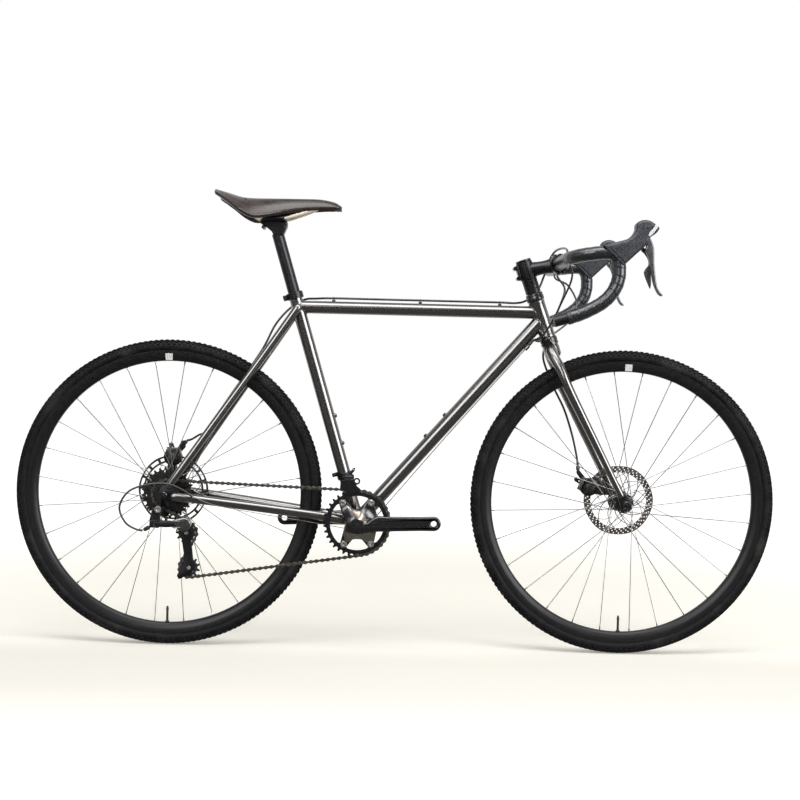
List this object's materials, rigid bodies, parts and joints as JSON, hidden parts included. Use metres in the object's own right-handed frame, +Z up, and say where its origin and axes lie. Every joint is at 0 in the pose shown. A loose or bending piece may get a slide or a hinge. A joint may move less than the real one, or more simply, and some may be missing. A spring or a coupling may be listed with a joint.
{
  "type": "cyclocross bike",
  "caption": "Drop-bar cyclocross bicycle with knobbly tyres, spoked wheels, disc brakes and a derailleur drivetrain.",
  "frame": {"origin": "on the ground, midway between the wheels' axles and on the bike's middle plane", "axes": "+X forward, +Y to the rider's left, +Z up; the drive side is at -Y"},
  "size_m": [1.711, 0.463, 1.0255],
  "materials": {
    "frame_paint": "gloss",
    "black_alloy": "satin",
    "hub_black": "satin",
    "bright_steel": "satin",
    "lever_grey": "satin",
    "crank_grey": "gloss",
    "tyre_rubber": "matte",
    "bar_tape": "matte",
    "hood_rubber": "matte",
    "cable_housing": "satin",
    "saddle_leather": "gloss",
    "chain_steel": "satin"
  },
  "bodies": {
    "frame": {"head_tube": "frame_paint", "top_tube": "frame_paint", "down_tube": "frame_paint", "seat_tube": "frame_paint", "bottom_bracket_shell": "frame_paint", "chainstays": "frame_paint", "seatstays": "frame_paint", "headset_cup_lower": "black_alloy", "headset_cup_upper": "black_alloy", "bottom_bracket": "black_alloy", "seat_collar": "black_alloy", "rear_brake_housing": "cable_housing", "shift_cables": "cable_housing", "chain": "chain_steel", "rear_caliper": "black_alloy", "front_mech_clamp": "black_alloy", "rear_mech_knuckle": "black_alloy", "rear_axle": "black_alloy"},
    "steering": {"fork": "frame_paint", "headset_spacers": "black_alloy", "top_cap": "black_alloy", "stem": "black_alloy", "stem_faceplate": "black_alloy", "handlebar": "black_alloy", "bar_tape_left": "bar_tape", "bar_tape_right": "bar_tape", "brake_hood_left": "hood_rubber", "brake_hood_right": "hood_rubber", "front_brake_cable": "cable_housing", "front_caliper": "black_alloy", "front_axle": "black_alloy"},
    "front_wheel": {"front_tyre": "tyre_rubber", "front_rim": "black_alloy", "front_hub": "hub_black", "front_rotor": "bright_steel"},
    "rear_wheel": {"rear_tyre": "tyre_rubber", "rear_rim": "black_alloy", "rear_hub": "hub_black", "rear_rotor": "bright_steel"},
    "cassette": {"cassette": "black_alloy"},
    "crank": {"crank_right": "crank_grey", "crank_left": "crank_grey", "chainring": "black_alloy"},
    "saddle_post": {"seatpost": "black_alloy", "saddle": "saddle_leather"},
    "brake_lever_left": {"brake_lever_left": "lever_grey"},
    "brake_lever_right": {"brake_lever_right": "lever_grey"},
    "shift_paddle_left": {"shift_paddle_left": "lever_grey"},
    "shift_paddle_right": {"shift_paddle_right": "lever_grey"},
    "front_caliper_arm": {"front_caliper_arm": "black_alloy"},
    "rear_caliper_arm": {"rear_caliper_arm": "black_alloy"},
    "front_qr_lever": {"front_qr_lever": "black_alloy"},
    "rear_qr_lever": {"rear_qr_lever": "black_alloy"},
    "front_mech_cage": {"front_mech_cage": "black_alloy"},
    "rear_mech_body": {"rear_mech_body": "lever_grey"},
    "rear_mech_cage": {"rear_mech_cage": "black_alloy"},
    "rear_mech_link_outer": {"rear_mech_link_outer": "black_alloy"},
    "rear_mech_link_inner": {"rear_mech_link_inner": "black_alloy"},
    "guide_pulley": {"guide_pulley": "black_alloy"},
    "tension_pulley": {"tension_pulley": "black_alloy"}
  },
  "joints": [
    {"name": "steering", "type": "hinge", "parent": "frame", "child": "steering", "pos_m": [0.33386, 0, 0.71294], "axis": [-0.3322, 0, 0.9432], "range_deg": [-60, 60], "deforming": ["rear_brake_housing", "shift_cables"]},
    {"name": "front_wheel_spin", "type": "hinge", "parent": "steering", "child": "front_wheel", "pos_m": [0.5115, 0, 0.344], "axis": [0, 1, 0], "continuous": true},
    {"name": "rear_wheel_spin", "type": "hinge", "parent": "frame", "child": "rear_wheel", "pos_m": [-0.5115, 0, 0.344], "axis": [0, 1, 0], "continuous": true},
    {"name": "crank_spin", "type": "hinge", "parent": "frame", "child": "crank", "pos_m": [-0.08617, 0, 0.288], "axis": [0, 1, 0], "continuous": true},
    {"name": "cassette_spin", "type": "hinge", "parent": "frame", "child": "cassette", "pos_m": [-0.5115, 0, 0.344], "axis": [0, 1, 0], "continuous": true},
    {"name": "seatpost_height", "type": "slide", "parent": "frame", "child": "saddle_post", "axis": [-0.289, 0, 0.9573], "range_m": [-0.08, 0.03]},
    {"name": "brake_lever_right", "type": "hinge", "parent": "steering", "child": "brake_lever_right", "pos_m": [0.5045, -0.217, 0.9175], "axis": [0, 1, 0], "range_deg": [0, 25], "stiffness_Nm_per_rad": 0.4, "springref_deg": -11.46},
    {"name": "shift_paddle_right", "type": "hinge", "parent": "brake_lever_right", "child": "shift_paddle_right", "pos_m": [0.501, -0.2065, 0.8945], "axis": [1, 0, 0], "range_deg": [0, 18], "stiffness_Nm_per_rad": 0.1, "springref_deg": -11.46},
    {"name": "brake_lever_left", "type": "hinge", "parent": "steering", "child": "brake_lever_left", "pos_m": [0.5045, 0.217, 0.9175], "axis": [0, 1, 0], "range_deg": [0, 25], "stiffness_Nm_per_rad": 0.4, "springref_deg": -11.46},
    {"name": "shift_paddle_left", "type": "hinge", "parent": "brake_lever_left", "child": "shift_paddle_left", "pos_m": [0.501, 0.2065, 0.8945], "axis": [-1, 0, 0], "range_deg": [0, 18], "stiffness_Nm_per_rad": 0.1, "springref_deg": -11.46},
    {"name": "front_caliper_arm", "type": "hinge", "parent": "steering", "child": "front_caliper_arm", "pos_m": [0.4443, 0.0658, 0.3725], "axis": [0, 1, 0], "range_deg": [0, 25]},
    {"name": "rear_caliper_arm", "type": "hinge", "parent": "frame", "child": "rear_caliper_arm", "pos_m": [-0.5128, 0.0783, 0.417], "axis": [0, 1, 0], "range_deg": [0, 25]},
    {"name": "front_qr_lever", "type": "hinge", "parent": "steering", "child": "front_qr_lever", "pos_m": [0.5115, 0.0726, 0.344], "axis": [-0.9119, 0, -0.4104], "range_deg": [0, 90]},
    {"name": "rear_qr_lever", "type": "hinge", "parent": "frame", "child": "rear_qr_lever", "pos_m": [-0.5115, 0.0901, 0.344], "axis": [-0.8115, 0, 0.5843], "range_deg": [0, 90]},
    {"name": "front_mech_swing", "type": "hinge", "parent": "frame", "child": "front_mech_cage", "pos_m": [-0.108, -0.0265, 0.3885], "axis": [1, 0, 0], "range_deg": [-3, 3], "deforming": ["chain", "shift_cables"]},
    {"name": "rear_mech_shift", "type": "slide", "parent": "frame", "child": "rear_mech_body", "axis": [0, 1, 0], "range_m": [-0.012, 0.022], "deforming": ["chain"]},
    {"name": "rear_mech_cage_swing", "type": "hinge", "parent": "rear_mech_body", "child": "rear_mech_cage", "pos_m": [-0.47, -0.04935, 0.27], "axis": [0, 1, 0], "range_deg": [-10, 35], "stiffness_Nm_per_rad": 0.3, "deforming": ["chain"]},
    {"name": "rear_mech_link_outer", "type": "hinge", "parent": "frame", "child": "rear_mech_link_outer", "pos_m": [-0.5235, -0.0895, 0.282], "axis": [0, 0, 1], "range_deg": [-18, 34]},
    {"name": "rear_mech_link_inner", "type": "hinge", "parent": "frame", "child": "rear_mech_link_inner", "pos_m": [-0.5235, -0.0775, 0.282], "axis": [0, 0, 1], "range_deg": [-18, 34]},
    {"name": "guide_pulley_spin", "type": "hinge", "parent": "rear_mech_cage", "child": "guide_pulley", "pos_m": [-0.464, -0.04935, 0.259], "axis": [0, 1, 0], "continuous": true},
    {"name": "tension_pulley_spin", "type": "hinge", "parent": "rear_mech_cage", "child": "tension_pulley", "pos_m": [-0.457, -0.04935, 0.1816], "axis": [0, 1, 0], "continuous": true}
  ],
  "couplings": [
    {"joint": "cassette_spin", "follows": "crank_spin", "ratio": 2.4},
    {"joint": "guide_pulley_spin", "follows": "crank_spin", "ratio": -3.2727},
    {"joint": "tension_pulley_spin", "follows": "crank_spin", "ratio": 3.2727},
    {"joint": "front_caliper_arm", "follows": "brake_lever_left", "ratio": 0.8},
    {"joint": "rear_caliper_arm", "follows": "brake_lever_right", "ratio": 0.8},
    {"joint": "rear_mech_link_outer", "follows": "rear_mech_shift", "rad_per_m": 25.97},
    {"joint": "rear_mech_link_inner", "follows": "rear_mech_shift", "rad_per_m": 25.97}
  ]
}
